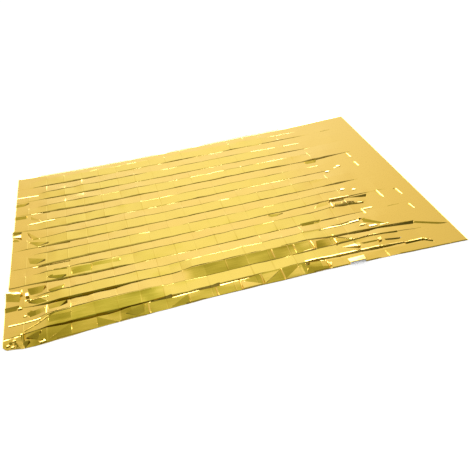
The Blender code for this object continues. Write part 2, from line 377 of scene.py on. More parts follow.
# The pressed cross folds: the least strength, where they fade out along x, the shares of a
# panel over which they fade at its front and rear edge, and the numbers of their cells
LEAST_STRENGTH = 0.2
CROSS_FADE = (1.75, 1.95)
FRONT_FADE = 0.08
REAR_FADE = 0.03
CELL_ROW = 40.0
FIRST_CELL = 100.0

# How the film is shaded: the angle that keeps an edge sharp, and the steepness towards the
# front at which a face's painted fold shade begins and is darkest
SHARP_ANGLE = 4.0
PAINTED_SHADE_FROM = 0.45
PAINTED_SHADE_TO = 0.80

# The painted reflection tints of the gold: how far from this x they alternate, and how unevenly
LEMON_MIDDLE = 0.87
LEMON_REACH = (0.62, 0.86)
LEMON_UNEVEN = 0.22

# Where the painted fold shade is fainter: within this reach of x, and past these panels
SHALLOW_MIDDLE = 1.2
SHALLOW_REACH = (0.35, 0.65)
SHALLOW_PANELS = (3.0, 7.0)

# The finest wrinkles, as scales of noise and their shares of the bump
STREAK_SCALE = (9.0, 60.0, 20.0)
STREAK_DETAIL = 4.0
STREAK_SHARE = 0.5
WRINKLE_SCALE = 70.0
WRINKLE_DETAIL = 3.0
WRINKLE_SHARE = 0.2
SILVER_SCALE = 60.0

# The roughness of each side, and how much the noise adds to it
GOLD_ROUGHNESS = 0.05
GOLD_VARIES = 0.05
SILVER_ROUGHNESS = 0.12
SILVER_VARIES = 0.08

# The camera
CAMERA_AT = (-0.4365, -2.8049, 1.7990)
CAMERA_FORWARD = (0.15732, 0.80021, -0.57871)
CAMERA_UP = (0.21730, 0.54360, 0.81073)

# The studio's colour against the height above the horizon, in degrees, beyond the sheet
# and behind the camera, how it falls off to the sides, and how the two sides blend. The
# floor lies just under the sheet
LIGHT_UNIT = 0.1
LIGHT_AZIMUTH = 9.0
SIDE_BLEND = (-0.4, 0.7)
FLOOR_DROP = 0.0006
FLOOR_ROUGHNESS = 0.9
BACK_LIGHT = (
    (0, (8.0, 8.0, 8.0)),
    (9, (8.0, 8.0, 8.0)),
    (12.5, (2.5, 2.5, 2.5)),
    (15.5, (1.04, 1.04, 1.04)),
    (38, (0.99, 0.99, 0.98)),
    (43, (0.92, 0.94, 0.76)),
    (48, (0.64, 0.69, 0.36)),
    (54, (0.44, 0.48, 0.19)),
    (62, (0.34, 0.37, 0.14)),
    (90, (0.28, 0.30, 0.11)),
)
FRONT_LIGHT = (
    (0, (0.8, 0.8, 0.8)),
    (12, (0.8, 0.8, 0.8)),
    (40, (0.7, 0.7, 0.7)),
    (60, (0.36, 0.37, 0.30)),
    (90, (0.30, 0.32, 0.12)),
)
BACK_SPREAD = (
    (-1.0, (0.4, 0.4, 0.4)),
    (0.2, (0.5, 0.5, 0.4)),
    (0.88, (0.74, 0.70, 0.58)),
    (0.94, (0.84, 0.80, 0.68)),
    (0.985, (0.95, 0.95, 0.95)),
    (1.0, (1.0, 1.0, 1.0)),
)
FRONT_SPREAD = (
    (-1.0, (1.0, 1.0, 1.0)),
    (0.0, (1.0, 1.0, 1.0)),
    (0.35, (0.6, 0.6, 0.6)),
    (1.0, (0.5, 0.5, 0.5)),
)


def eased(low, high, value):
    """0 below low, 1 above high, and a soft S between."""
    t = np.clip((value - low) / (high - low), 0.0, 1.0)
    return t * t * (3.0 - 2.0 * t)


def along_stretch(start, end, x):
    """1 from start to end, with a soft rise and fall inside them."""
    return float(eased(start, start + SOFT_END, x) * (1.0 - eased(end - SOFT_END, end, x)))


def cross_folds():
    """The x of each cross fold."""
    return FIRST_CROSS_FOLD + CROSS_FOLD_PITCH * np.arange(CROSS_FOLDS)


def cell_ends():
    """The x of both edges and of the cross folds between them."""
    return np.concatenate([[0.0], cross_folds(), [FLAT_LENGTH]])


def stations():
    """The x of each section: both ends, the cross folds and the middles between them."""
    ends = cell_ends()
    return np.sort(np.concatenate([ends, (ends[1:] + ends[:-1]) / 2]))


def fold_y(fold, x):
    """The y of a fold at x."""
    heights = [getattr(fold, "y_" + place) * MM for place in PLACES]
    return float(np.interp(x, list(PLACES.values()), heights))


def fold_rise(fold, x):
    """How far a fold stands up at x."""
    quarter, middle, far, right = (PLACES[name] for name in ("quarter", "middle", "far", "right"))
    places = (LOW_UNTIL, STANDS_FROM, quarter, middle, far, right, fold.fades)
    rises = (fold.rise_start, *(fold.rise_left,) * 2, *(fold.rise_middle,) * 2, fold.rise_right, 0.0)
    return float(np.interp(x, places, rises)) * MM


def fold_lift(number, x):
    """How far a fold is held off the floor at x."""
    rows = [row for row in LIFTS if row.fold == number]
    return sum(row.height * MM * along_stretch(row.start, row.end, x) for row in rows)


def flap_height(x):
    """How high the flap's rear ridge stands at x: even in each cell between cross folds."""
    ends = cell_ends()
    inset = CELL_INSET * np.diff(ends)
    inner = np.stack([ends[:-1] + inset, ends[1:] - inset], axis=1).ravel()
    return float(np.interp(x, inner, np.repeat(FLAP_HEIGHTS, 2))) * MM


def section(x, sway):
    """The sheet's line across at x, as (y, z) pairs: the solid's, but for the stretch in
    which the flap's ridge leans towards the back."""
    live = 1.0 - float(eased(FLAT_END_FROM, FLAT_END_TO, x))
    moved = CROSS_FOLD_SWAY * sway * live
    y_of = [fold_y(fold, x) + moved[number] for number, fold in enumerate(FOLDS)]
    rise_of = [fold_rise(fold, x) for fold in FOLDS]
    feet, brows = {}, {}
    for number, fold in enumerate(FOLDS):
        if fold.kind == "crease":
            continue
        foot = fold_lift(number, x)
        step = max(LEAST_STEP, BROW_LEAN * rise_of[number]) if fold.kind == "pleat" else 0.0
        wobble = CROSS_FOLD_HEIGHT * max(sway[number], 0.0) * live if fold.kind == "pleat" else 0.0
        feet[number] = (y_of[number], foot)
        brows[number] = (y_of[number] + step, foot + rise_of[number] + wobble)
    before = float(np.interp(x, *zip(*RIDGE_PLACES))) * MM
    height = flap_height(x)
    if FACED_FROM < x < FACED_TO:
        before = FACED_LEAST + FACED_SHARE * before
        height = FACED_SLOPE * before
    line = [feet[0], (y_of[1] - before, height)]
    for number, fold in enumerate(FOLDS[1:-1], start=1):
        if fold.kind == "pleat":
            line += [feet[number], brows[number]]
            continue
        before, after = brows[number - 1], feet.get(number + 1, (fold_y(FOLDS[-1], x), 0.0))
        share = (y_of[number] - before[0]) / (after[0] - before[0])
        low = before[1] + share * (after[1] - before[1])
        bump = CREASE_SHARE * rise_of[number] + CROSS_FOLD_HEIGHT * sway[number] * live
        line.append((y_of[number], max(low + bump + fold_lift(number, x), 0.0)))
    line.append(feet[PANELS])
    return line


def skeleton():
    """The sheet's sections at the solid's stations: their x, and (station, line, y z)."""
    rng = np.random.default_rng(SEED)
    folded = cross_folds()
    places = stations()
    rows = []
    for x in places:
        sway = rng.uniform(-1.0, 1.0, len(FOLDS))
        on_fold = np.isclose(folded, x).any()
        rows.append(section(x, sway if on_fold else SWAY_BETWEEN * sway))
    return places, np.array(rows)


def fold_numbers():
    """For each line of a section, the number of the fold that it belongs to."""
    numbers = [0, 0]
    for number, fold in enumerate(FOLDS[1:-1], start=1):
        numbers += [number, number] if fold.kind == "pleat" else [number]
    return np.array(numbers + [PANELS])


def panel_places():
    """For each line of a section, where it lies across the flat sheet, in panels."""
    places = [0.0, FLAP_SHARE]
    for number, fold in enumerate(FOLDS[1:-1], start=1):
        places += [number, number + RISER_SHARE] if fold.kind == "pleat" else [number]
    return np.array(places + [PANELS], dtype=float)


def fine_x():
    """The x of each fine section."""
    ends = cell_ends()
    values = []
    for start, end in zip(ends, ends[1:]):
        steps = [row.steps for row in CELL_STEPS if start >= row.start][-1]
        values += [start, *(start + (end - start) * step for step in steps)]
    return np.array(values + [FLAT_LENGTH])


def fine_lines():
    """The fine lines across: the skeleton line before each, its share of the way to the
    next one, and the kind of stretch that it lies in."""
    kinds = ["flap", "rim"]
    for fold in FOLDS[1:-1]:
        kinds += ["riser", "panel"] if fold.kind == "pleat" else ["panel"]
    kinds[-1] = "rear"
    steps = dict(flap=FLAP_STEPS, rim=REAR_STEPS, riser=RISER_STEPS, panel=PANEL_STEPS, rear=REAR_STEPS)
    lines = [(index, step, kind) for index, kind in enumerate(kinds) for step in steps[kind]]
    lines.append((len(kinds) - 1, 1.0, "rear"))
    index, share, kind = zip(*lines)
    return np.array(index), np.array(share), np.array(kind)


def kinked(rng, xs, pitch):
    """Random values from -1 to 1 every pitch along x, with straight lines between them."""
    places = np.arange(0.0, FLAT_LENGTH + pitch, pitch)
    return np.interp(xs, places, rng.uniform(-1.0, 1.0, len(places)))


def kinks(xs, rough):
    """The small sways and lifts of each skeleton line between the cross folds."""
    rng = np.random.default_rng(KINK_SEED)
    live = 1.0 - eased(*KINKS_FADE, xs)
    faced = (xs > FACED_FROM) & (xs < FACED_TO)
    for line in range(1, rough.shape[1] - 1):
        free = np.where(faced, FACED_KINKS, live) if line < FACED_BEFORE_LINE else live
        rough[:, line, 0] += KINK_SWAY * kinked(rng, xs, KINK_PITCH) * free
        standing = np.clip(rough[:, line, 1] / KINK_FULL_AT, 0.0, 1.0)
        rough[:, line, 1] += KINK_HEIGHT * kinked(rng, xs, KINK_PITCH) * free * standing
    return rough


def turned(xs):
    """For each fold, where its edge is turned back instead of standing up: 0 to 1."""
    rng = np.random.default_rng(TURN_SEED)
    live = eased(*TURNS_OVER, xs)
    shares = [TURN_SHARE + TURN_STEEPNESS * kinked(rng, xs, TURN_PITCH) for _ in FOLDS]
    return [np.clip(share, 0.0, 1.0) * live for share in shares]


def lowered(xs, rough):
    """The skeleton's lines with each pleat lower where its edge is turned back, and the
    upper pleats lower all along."""
    numbers = fold_numbers()
    for number, back in enumerate(turned(xs)):
        if FOLDS[number].kind == "pleat" and number > 1:
            foot, brow = np.flatnonzero(numbers == number)
            kept = UPPER_RISE if number >= FIRST_UPPER else 1.0
            rise = (rough[:, brow, 1] - rough[:, foot, 1]) * kept
            rough[:, brow, 1] = rough[:, foot, 1] + rise * (1.0 - TURN_DROP * back)
    return rough


def crease_steps(xs, index, share):
    """Each crease's own small step up, just behind its line."""
    rng = np.random.default_rng(STEP_SEED)
    backs = turned(xs)
    owner = fold_numbers()[index]
    total = np.zeros((len(xs), len(index)))
    for number, fold in enumerate(FOLDS):
        strength = STEP_STRENGTH + STEP_VARIES * kinked(rng, xs, CROSS_FOLD_PITCH / 2)
        if fold.kind != "crease":
            continue
        height = np.array([fold_rise(fold, x) for x in xs]) * strength
        height = height * (1.0 - TURN_DROP * backs[number])
        if number == PANELS - 1:
            height = height * REAR_RISE
        here = (owner == number) & (share > 0)
        total[:, here] += height[:, None] * (1.0 - share[here])[None, :]
    return total


def rims(xs, index, share, kinds):
    """The small rim along each panel's rear edge, where the fold behind it is turned back."""
    rng = np.random.default_rng(RIM_SEED)
    numbers = fold_numbers()
    total = np.zeros((len(xs), len(index)))
    shape = np.interp(share, (RIM_FROM, RIM_TOP, 1.0), (0.0, 1.0, 0.0))
    for number, (fold, back) in enumerate(zip(FOLDS, turned(xs))):
        strength = back * (RIM_STRENGTH + RIM_VARIES * kinked(rng, xs, KINK_PITCH))
        if fold.kind == "edge" or number == 1:
            continue
        fades = min(fold.fades, RIM_END)
        height = RIM_HEIGHT * strength * (1.0 - eased(fades - RIM_FADE, fades, xs))
        here = (numbers[index + 1] == number) & (kinds == "panel")
        total[:, here] += height[:, None] * shape[here][None, :]
    return total


def facet_corners(facet):
    """A facet's corners, counterclockwise from its front left one."""
    spots = (
        (facet.front_left, facet.front),
        (facet.front_right, facet.front),
        (facet.back_right, facet.back),
        (facet.back_left, facet.back),
    )
    return np.array([(x, y + facet.slant * (x - facet.front_left)) for x, y in spots]) * MM


def facet_edges(facet):
    """For each of a facet's edges a point on it, its outward direction, and the reach of
    the slope beyond it."""
    corners = facet_corners(facet)
    reaches = (SKIRT, SKIRT, facet.behind * MM, SKIRT)
    edges = []
    for start, end, reach in zip(corners, np.roll(corners, -1, axis=0), reaches):
        along = end - start
        length = np.hypot(*along)
        if length > 0:
            edges.append((start, np.array([along[1], -along[0]]) / length, reach))
    return edges


def facet_height(facet, x, y):
    """The height that a facet adds at each x and y."""
    slope_x, slope_y = np.tan(np.radians((facet.side, facet.lean)))
    level = x * slope_x + (y - facet.slant * (x - facet.front_left * MM)) * slope_y
    spots = (
        (facet.front_left, facet.front),
        (facet.front_right, facet.front),
        (facet.back_left, facet.back),
        (facet.back_right, facet.back),
    )
    lowest = min(side * MM * slope_x + end * MM * slope_y for side, end in spots)
    outside = [
        ((x - at[0]) * out[0] + (y - at[1]) * out[1]) / reach for at, out, reach in facet_edges(facet)
    ]
    share = np.clip(1.0 - np.max(outside, axis=0), 0.0, 1.0)
    return np.maximum(level - lowest, 0.0) * share


def press_facets(mesh):
    """Cut the mesh along the facets' edges and raise them."""
    sheet = bmesh.new()
    sheet.from_mesh(mesh)
    squares = defaultdict(list)

    def keep(face):
        x, y = (int(value // FACET_SEARCH) for value in face.verts[0].co.xy)
        squares[x, y].append(face)

    for face in sheet.faces:
        keep(face)
    for facet in FACETS:
        corners = facet_corners(facet)
        low = np.floor((corners.min(axis=0) - FACET_MARGIN) / FACET_SEARCH).astype(int)
        high = np.floor((corners.max(axis=0) + FACET_MARGIN) / FACET_SEARCH).astype(int)
        near = {
            face
            for x in range(low[0], high[0] + 1)
            for y in range(low[1], high[1] + 1)
            for face in squares[x, y]
            if face.is_valid
        }
        local = list({part: None for face in near for part in (*face.verts, *face.edges, face)})
        for at, out, reach in facet_edges(facet):
            for spot in (at, at + out * reach):
                cut = bmesh.ops.bisect_plane(
                    sheet, geom=local, dist=CUT_TOLERANCE, plane_co=(*spot, 0.0), plane_no=(*out, 0.0)
                )
                local = cut["geom"]
        for part in local:
            if isinstance(part, bmesh.types.BMFace) and part not in near:
                keep(part)
    places = np.array([vert.co for vert in sheet.verts])
    places[:, 2] += sum(facet_height(facet, places[:, 0], places[:, 1]) for facet in FACETS)
    for vert, height in zip(sheet.verts, places[:, 2]):
        vert.co.z = height
    sheet.to_mesh(mesh)
    sheet.free()


def left_edge_x(x, y):
    """x moved for the left edge's jogs, at the sheet's place x, y."""
    jog = np.interp(y, [place.y * MM for place in LEFT_EDGE], [place.x * MM for place in LEFT_EDGE])
    return x + jog * np.clip(1.0 - x / FIRST_CROSS_FOLD, 0.0, 1.0)


def sheet_grid():
    """The fine sheet's points on the table, as (section, line, x y z), and where each lies
    on the flat sheet, from 0 to 1 both ways."""
    at, solid = skeleton()
    xs = fine_x()
    index, share, kinds = fine_lines()
    rough = np.empty((len(xs), solid.shape[1], 2))
    for line in range(solid.shape[1]):
        for axis in range(2):
            rough[:, line, axis] = np.interp(xs, at, solid[:, line, axis])
    rough = kinks(xs, lowered(xs, rough))
    blend = share[None, :, None]
    y, z = np.moveaxis(rough[:, index] * (1 - blend) + rough[:, index + 1] * blend, 2, 0)
    z = z + crease_steps(xs, index, share)
    z = np.maximum(z + rims(xs, index, share, kinds), 0.0)
    points = np.stack([left_edge_x(xs[:, None], y), y, z], axis=2)
    places = panel_places()
    across = (places[index] * (1 - share) + places[index + 1] * share) / PANELS
    flat = np.stack(np.broadcast_arrays(xs[:, None] / FLAT_LENGTH, across[None, :]), axis=2)
    return points, flat


def grid_mesh(name, points, flat):
    """A mesh of quads over the grid of points, facing up, with its flat places as a UV map."""
    along, across = points.shape[:2]
    mesh = bpy.data.meshes.new(name)
    corner = np.arange(along * across).reshape(along, across)
    faces = np.stack([corner[:-1, :-1], corner[1:, :-1], corner[1:, 1:], corner[:-1, 1:]], axis=-1)
    mesh.from_pydata(points.reshape(-1, 3).tolist(), [], faces.reshape(-1, 4).tolist())
    packet = mesh.uv_layers.new(name="packet")
    vertex = np.empty(len(mesh.loops), dtype=np.int32)
    mesh.loops.foreach_get("vertex_index", vertex)
    packet.data.foreach_set("uv", flat.reshape(-1, 2)[vertex].astype(np.float32).ravel())
    mesh.update()
    return mesh


def paint_fold_shade(mesh):
    """Keep each face's painted fold shade, from 0 to 1: its steepness to the front, standing in for how deep
    in a fold it lies.
    """
    normals = np.empty(len(mesh.polygons) * 3, dtype=np.float32)
    mesh.polygon_normals.foreach_get("vector", normals)
    normals = normals.reshape(-1, 3)
    steep = -normals[:, 1] / np.maximum(normals[:, 2], 0.001)
    shade = mesh.attributes.new("fold_shade", "FLOAT", "FACE")
    shade.data.foreach_set("value", np.clip((steep - PAINTED_SHADE_FROM) / (PAINTED_SHADE_TO - PAINTED_SHADE_FROM), 0.0, 1.0))


def film_mesh():
    """The whole film before the cross folds are pressed in, centred as the solid is."""
    points, flat = sheet_grid()
    mesh = grid_mesh("film_grid", points, flat)
    press_facets(mesh)
    paint_fold_shade(mesh)
    solid = skeleton()[1]
    middle_y = (solid[:, :, 0].min() + solid[:, :, 0].max()) / 2
    start_x = min(place.x for place in LEFT_EDGE) * MM
    mesh.transform(Matrix.Translation((SOLID_BOX[0][0] - start_x, -middle_y, 0.0)))
    return mesh


class SocketMaths:
    """A socket that plain Python operators turn into Math nodes."""

    def __init__(self, tree, socket):
        self.tree = tree
        self.socket = socket

    def math(self, operation, *others):
        node = self.tree.nodes.new("ShaderNodeMath")
        node.operation = operation
        for place, value in enumerate((self, *others)):
            if isinstance(value, SocketMaths):
                self.tree.links.new(value.socket, node.inputs[place])
            else:
                node.inputs[place].default_value = value
        return SocketMaths(self.tree, node.outputs[0])

    def __add__(self, other):
        return self.math("ADD", other)

    def __sub__(self, other):
        return self.math("SUBTRACT", other)

    def __rsub__(self, other):
        return (self * -1.0) + other

    def __mul__(self, other):
        return self.math("MULTIPLY", other)

    def __truediv__(self, other):
        return self.math("DIVIDE", other)

    def __mod__(self, other):
        return self.math("FLOORED_MODULO", other)

    def __abs__(self):
        return self.math("ABSOLUTE")

    def __gt__(self, other):
        return self.math("GREATER_THAN", other)

    __radd__ = __add__
    __rmul__ = __mul__


def add_node(tree, kind, settings=None, sockets=None):
    """A node of that kind, with its settings and the values or links of its sockets."""
    node = tree.nodes.new(kind)
    for name, value in (settings or {}).items():
        if name == "stops":
            ramp = node.color_ramp
            while len(ramp.elements) < len(value):
                ramp.elements.new(0.5)
            for element, (position, color) in zip(ramp.elements, value):
                element.position = position
                element.color = color
        else:
            setattr(node, name, value)
    for name, value in (sockets or {}).items():
        value = value.socket if isinstance(value, SocketMaths) else value
        if isinstance(value, bpy.types.NodeSocket):
            tree.links.new(value, node.inputs[name])
        else:
            node.inputs[name].default_value = value
    return node


def wrapped(tree, node, output=0):
    """One of a node's outputs, ready for Python's operators."""
    return SocketMaths(tree, node.outputs[output])


def mixed(tree, kind, factor, first, second):
    """Two colours mixed by a factor, as a socket."""
    settings = {"data_type": "RGBA", "blend_type": kind}
    return add_node(tree, "ShaderNodeMix", settings, {0: factor, 6: first, 7: second}).outputs[2]


def ramped(tree, value, reach, start, end, shape="LINEAR"):
    """A value turned from start to end over a reach, and held beyond it."""
    settings = {"interpolation_type": shape}
    low, high = reach
    sockets = {"Value": value, "From Min": low, "From Max": high, "To Min": start, "To Max": end}
    return wrapped(tree, add_node(tree, "ShaderNodeMapRange", settings, sockets))


def noise(tree, place, scale, detail):
    """Noise over a place on the film, as a socket."""
    sockets = {"Vector": place, "Scale": scale, "Detail": detail}
    return wrapped(tree, add_node(tree, "ShaderNodeTexNoise", sockets=sockets))


def cross_fold_tree():
    """Geometry nodes that press the packet's cross folds into the film, and the identifier
    of each input by name."""
    tree = bpy.data.node_groups.new("cross_folds", "GeometryNodeTree")
    face = tree.interface
    face.new_socket(name="Geometry", in_out="OUTPUT", socket_type="NodeSocketGeometry")
    face.new_socket(name="Geometry", in_out="INPUT", socket_type="NodeSocketGeometry")
    sizes = ("First Fold", "Pitch", "Ridge Height", "Ridge Width", "Cell Height")
    kinds = dict.fromkeys(sizes, "NodeSocketFloat")
    kinds.update({"Seed": "NodeSocketInt", "Material": "NodeSocketMaterial"})
    identifiers = {
        name: face.new_socket(name=name, in_out="INPUT", socket_type=kind).identifier
        for name, kind in kinds.items()
    }
    given = add_node(tree, "NodeGroupInput")
    first, pitch, ridge, width, cell = (wrapped(tree, given, name) for name in sizes)
    packet = add_node(
        tree, "GeometryNodeInputNamedAttribute", {"data_type": "FLOAT_VECTOR"}, {"Name": "packet"}
    )
    flat = add_node(tree, "ShaderNodeSeparateXYZ", sockets={0: packet.outputs["Attribute"]})
    x = wrapped(tree, flat, "X") * FLAT_LENGTH
    panel = wrapped(tree, flat, "Y") * float(PANELS)
    fold = ((x - first) / pitch).math("ROUND")
    distance = abs(x - first - fold * pitch)
    number = panel.math("FLOOR")
    share = panel - number
    cell_number = fold * CELL_ROW + number + FIRST_CELL
    limits = {2: LEAST_STRENGTH, 3: 1.0, "ID": cell_number, "Seed": given.outputs["Seed"]}
    strength = add_node(tree, "FunctionNodeRandomValue", {"data_type": "FLOAT"}, limits)
    side = ((fold + number) % 2.0) * 2.0 - 1.0
    fade = ramped(tree, x, CROSS_FADE, 1.0, 0.0, "SMOOTHSTEP")
    signed = side * wrapped(tree, strength, 1) * fade
    front = (share / FRONT_FADE).math("MINIMUM", 1.0)
    edges = front * ((1.0 - share) / REAR_FADE).math("MINIMUM", 1.0)
    thin = (1.0 - distance / width).math("MAXIMUM", 0.0) * edges * ridge
    wide = (1.0 - distance * 2.0 / pitch) * (1.0 - abs(share * 2.0 - 1.0)) * cell
    position = add_node(tree, "GeometryNodeInputPosition")
    axes = add_node(tree, "ShaderNodeSeparateXYZ", sockets={0: position.outputs[0]})
    height = (wrapped(tree, axes, "Z") + signed * (thin + wide)).math("MAXIMUM", 0.0)
    sockets = {"X": axes.outputs["X"], "Y": axes.outputs["Y"], "Z": height}
    moved = add_node(tree, "ShaderNodeCombineXYZ", sockets=sockets)
    sockets = {"Geometry": given.outputs["Geometry"], "Position": moved.outputs[0]}
    pressed = add_node(tree, "GeometryNodeSetPosition", sockets=sockets)
    real = add_node(tree, "GeometryNodeRealizeInstances", sockets={0: pressed.outputs[0]})
    sockets = {"Geometry": real.outputs[0], "Material": given.outputs["Material"]}
    finished = add_node(tree, "GeometryNodeSetMaterial", sockets=sockets)
    add_node(tree, "NodeGroupOutput", sockets={0: finished.outputs[0]})
    return tree, identifiers


def pressed_film(context, mesh, gold, settings):
    """The mesh with its cross folds pressed in, as a plain mesh."""
    cage = bpy.data.objects.new("film_cage", mesh)
    context.scene.collection.objects.link(cage)
    tree, identifiers = cross_fold_tree()
    modifier = cage.modifiers.new("Cross Folds", "NODES")
    modifier.node_group = tree
    values = {
        "First Fold": FIRST_CROSS_FOLD,
        "Pitch": CROSS_FOLD_PITCH,
        "Ridge Height": settings.ridge_height,
        "Ridge Width": settings.ridge_width,
        "Cell Height": settings.cell_height,
        "Seed": settings.seed,
        "Material": gold,
    }
    for name, value in values.items():
        modifier[identifiers[name]] = value
    result = bpy.data.meshes.new_from_object(cage.evaluated_get(context.evaluated_depsgraph_get()))
    result.name = "foil_film"
    bpy.data.objects.remove(cage)
    return result


def principled(name):
    """A new material and its Principled shader."""
    material = bpy.data.materials.new(name)
    material.use_nodes = True
    return material, material.node_tree, material.node_tree.nodes["Principled BSDF"]


def gold_film(settings):
    """Gold metallised film with a painted reflection tint, warmer and more lemon by turns from
    panel to panel, and painted shade on faces steep towards the front.
    """
    material, tree, shader = principled("gold_film")
    packet = add_node(tree, "ShaderNodeUVMap", {"uv_map": "packet"})
    flat = add_node(tree, "ShaderNodeSeparateXYZ", sockets={0: packet.outputs[0]})
    along = wrapped(tree, flat, "X") * FLAT_LENGTH
    panel = wrapped(tree, flat, "Y") * float(PANELS)
    # Painted reflection tint: every other panel is mixed towards a more lemon gold, standing in for panels
    # that lean by turns and reflect differently coloured light, unevenly from cell to cell and fading towards
    # the ends
    lemon = (panel % 2.0) > 1.0
    ends = ramped(tree, abs(along - LEMON_MIDDLE), LEMON_REACH, 1.0, 0.0, "SMOOTHSTEP")
    number = panel.math("FLOOR")
    fold = ((along - FIRST_CROSS_FOLD) / CROSS_FOLD_PITCH).math("FLOOR")
    place = add_node(tree, "ShaderNodeCombineXYZ", sockets={"X": fold, "Y": number})
    both_ways = {"noise_dimensions": "2D"}
    chance = add_node(tree, "ShaderNodeTexWhiteNoise", both_ways, {"Vector": place.outputs[0]})
    uneven = wrapped(tree, chance) * LEMON_UNEVEN
    hue = (lemon * (1.0 - uneven) + (1.0 - lemon) * uneven) * ends
    gold = mixed(tree, "MIX", hue, (*settings.warm_reflection_gold, 1.0), (*settings.lemon_reflection_gold, 1.0))
    # Painted fold shade: faces steep towards the front are mixed towards a dark gold, more faintly in the
    # middle and towards the back
    depth = wrapped(tree, add_node(tree, "ShaderNodeAttribute", {"attribute_name": "fold_shade"}), "Fac")
    depth = depth * ramped(tree, abs(along - SHALLOW_MIDDLE), SHALLOW_REACH, settings.shallow, 1.0)
    depth = depth * ramped(tree, panel, SHALLOW_PANELS, 1.0, settings.shallow)
    gold = mixed(tree, "MIX", depth, gold, (*settings.painted_fold_shade, 1.0))
    surface = add_node(tree, "ShaderNodeTexCoord").outputs["Object"]
    streaks = add_node(tree, "ShaderNodeMapping", sockets={"Vector": surface, "Scale": STREAK_SCALE})
    grain = noise(tree, streaks.outputs[0], 1.0, STREAK_DETAIL)
    height = grain * STREAK_SHARE + noise(tree, surface, WRINKLE_SCALE, WRINKLE_DETAIL) * WRINKLE_SHARE
    sockets = {"Height": height, "Distance": settings.wrinkle_depth, "Strength": 1.0}
    bump = add_node(tree, "ShaderNodeBump", sockets=sockets)
    roughness = GOLD_ROUGHNESS + grain * GOLD_VARIES
    for name, value in {"Base Color": gold, "Roughness": roughness.socket, "Normal": bump.outputs[0]}.items():
        tree.links.new(value, shader.inputs[name])
    shader.inputs["Metallic"].default_value = 1.0
    return material


def silver_film(settings):
    """The film's plain silver underside."""
    material, tree, shader = principled("silver_film")
    surface = add_node(tree, "ShaderNodeTexCoord").outputs["Object"]
    fine = noise(tree, surface, SILVER_SCALE, WRINKLE_DETAIL)
    bump = add_node(tree, "ShaderNodeBump", sockets={"Height": fine, "Distance": settings.wrinkle_depth})
    roughness = SILVER_ROUGHNESS + fine * SILVER_VARIES
    tree.links.new(roughness.socket, shader.inputs["Roughness"])
    tree.links.new(bump.outputs[0], shader.inputs["Normal"])
    shader.inputs["Base Color"].default_value = (*settings.silver, 1.0)
    shader.inputs["Metallic"].default_value = 1.0
    return material


class FoilFilmSettings(bpy.types.PropertyGroup):
    """Sizes and colours of the film"""

    thickness: FloatProperty(
        name="Film Thickness",
        description="Thickness that the film is drawn with",
        default=0.0004,
        unit="LENGTH",
    )
    ridge_height: FloatProperty(
        name="Cross Fold Height",
        description="Height of the thin ridge along each cross fold",
        default=0.0008,
        unit="LENGTH",
    )
    ridge_width: FloatProperty(
        name="Cross Fold Width",
        description="Reach of that ridge to either side",
        default=0.0038,
        unit="LENGTH",
    )
    cell_height: FloatProperty(
        name="Cell Height",
        description="How far a panel bulges where a cross fold passes over it",
        default=0.0014,
        unit="LENGTH",
    )
    seed: IntProperty(
        name="Seed",
        description="Seed of the cross folds' unevenness",
        default=8,
    )
    # Painted reflection tints: the gold as seen on panels leaning one way and on those leaning the other
    warm_reflection_gold: FloatVectorProperty(
        name="Warm Gold",
        description="Colour of every other panel",
        default=(0.985, 0.680, 0.155),
        subtype="COLOR",
    )
    lemon_reflection_gold: FloatVectorProperty(
        name="Lemon Gold",
        description="Colour of the panels between them",
        default=(0.98, 0.730, 0.142),
        subtype="COLOR",
    )
    # Painted shade: the colour that faces steep towards the front are mixed towards, deep in the folds
    painted_fold_shade: FloatVectorProperty(
        name="Fold Gold",
        description="Colour deep in the folds, where little light gets out",
        default=(0.21, 0.168, 0.012),
        subtype="COLOR",
    )
    # Painted shade: the painted fold shade's strength where the folds are low, as a share of where they are
    # deep
    shallow: FloatProperty(
        name="Shallow Folds",
        description="How dark the folds are where they are low, as a share of the deep ones",
        default=0.58,
    )
    silver: FloatVectorProperty(
        name="Silver",
        description="Colour of the underside",
        default=(0.86, 0.87, 0.88),
        subtype="COLOR",
    )
    wrinkle_depth: FloatProperty(
        name="Wrinkle Depth",
        description="Depth of the finest wrinkles in the film",
        default=0.0004,
        unit="LENGTH",
    )


class FoilStudioSettings(bpy.types.PropertyGroup):
    """Sizes and colours of the studio"""

    floor_size: FloatProperty(
        name="Floor Size",
        description="Half the floor's side",
        default=20.0,
        unit="LENGTH",
    )
    floor_color: FloatVectorProperty(
        name="Floor Color",
        description="Colour of the floor's paint",
        default=(0.92, 0.92, 0.92),
        subtype="COLOR",
    )
    fill: FloatProperty(
        name="Fill Light",
        description="Strength of the even light on the floor",
        default=1.16,
    )
    lens: FloatProperty(
        name="Lens",
        description="Focal length of the camera, in millimetres",
        default=45.74,
    )


class FOIL_OT_sheet(bpy.types.Operator):
    """Lay out the creased foil sheet"""

    bl_idname = "foil.sheet"
    bl_label = "Foil Sheet"

    def execute(self, context):
        settings = context.scene.foil_film
        gold = gold_film(settings)
        mesh = pressed_film(context, film_mesh(), gold, settings)
        mesh.materials.append(silver_film(settings))
        mesh.shade_smooth()
        mesh.set_sharp_from_angle(angle=np.radians(SHARP_ANGLE))
        sheet = bpy.data.objects.new("foil_film", mesh)
        context.scene.collection.objects.link(sheet)
        thick = sheet.modifiers.new("Thickness", "SOLIDIFY")
        thick.thickness = settings.thickness
        thick.offset = 1.0
        thick.material_offset = 1
        thick.material_offset_rim = 1
        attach(sheet, "root")
        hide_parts("foil_sheet")
        return {"FINISHED"}


class FOIL_OT_studio(bpy.types.Operator):
    """Set up the floor, the light and the camera"""

    bl_idname = "foil.studio"
    bl_label = "Studio"

    def execute(self, context):
        settings = context.scene.foil_studio
        studio_floor(context, settings)
        studio_light(context, settings)
        studio_camera(context, settings)
        return {"FINISHED"}


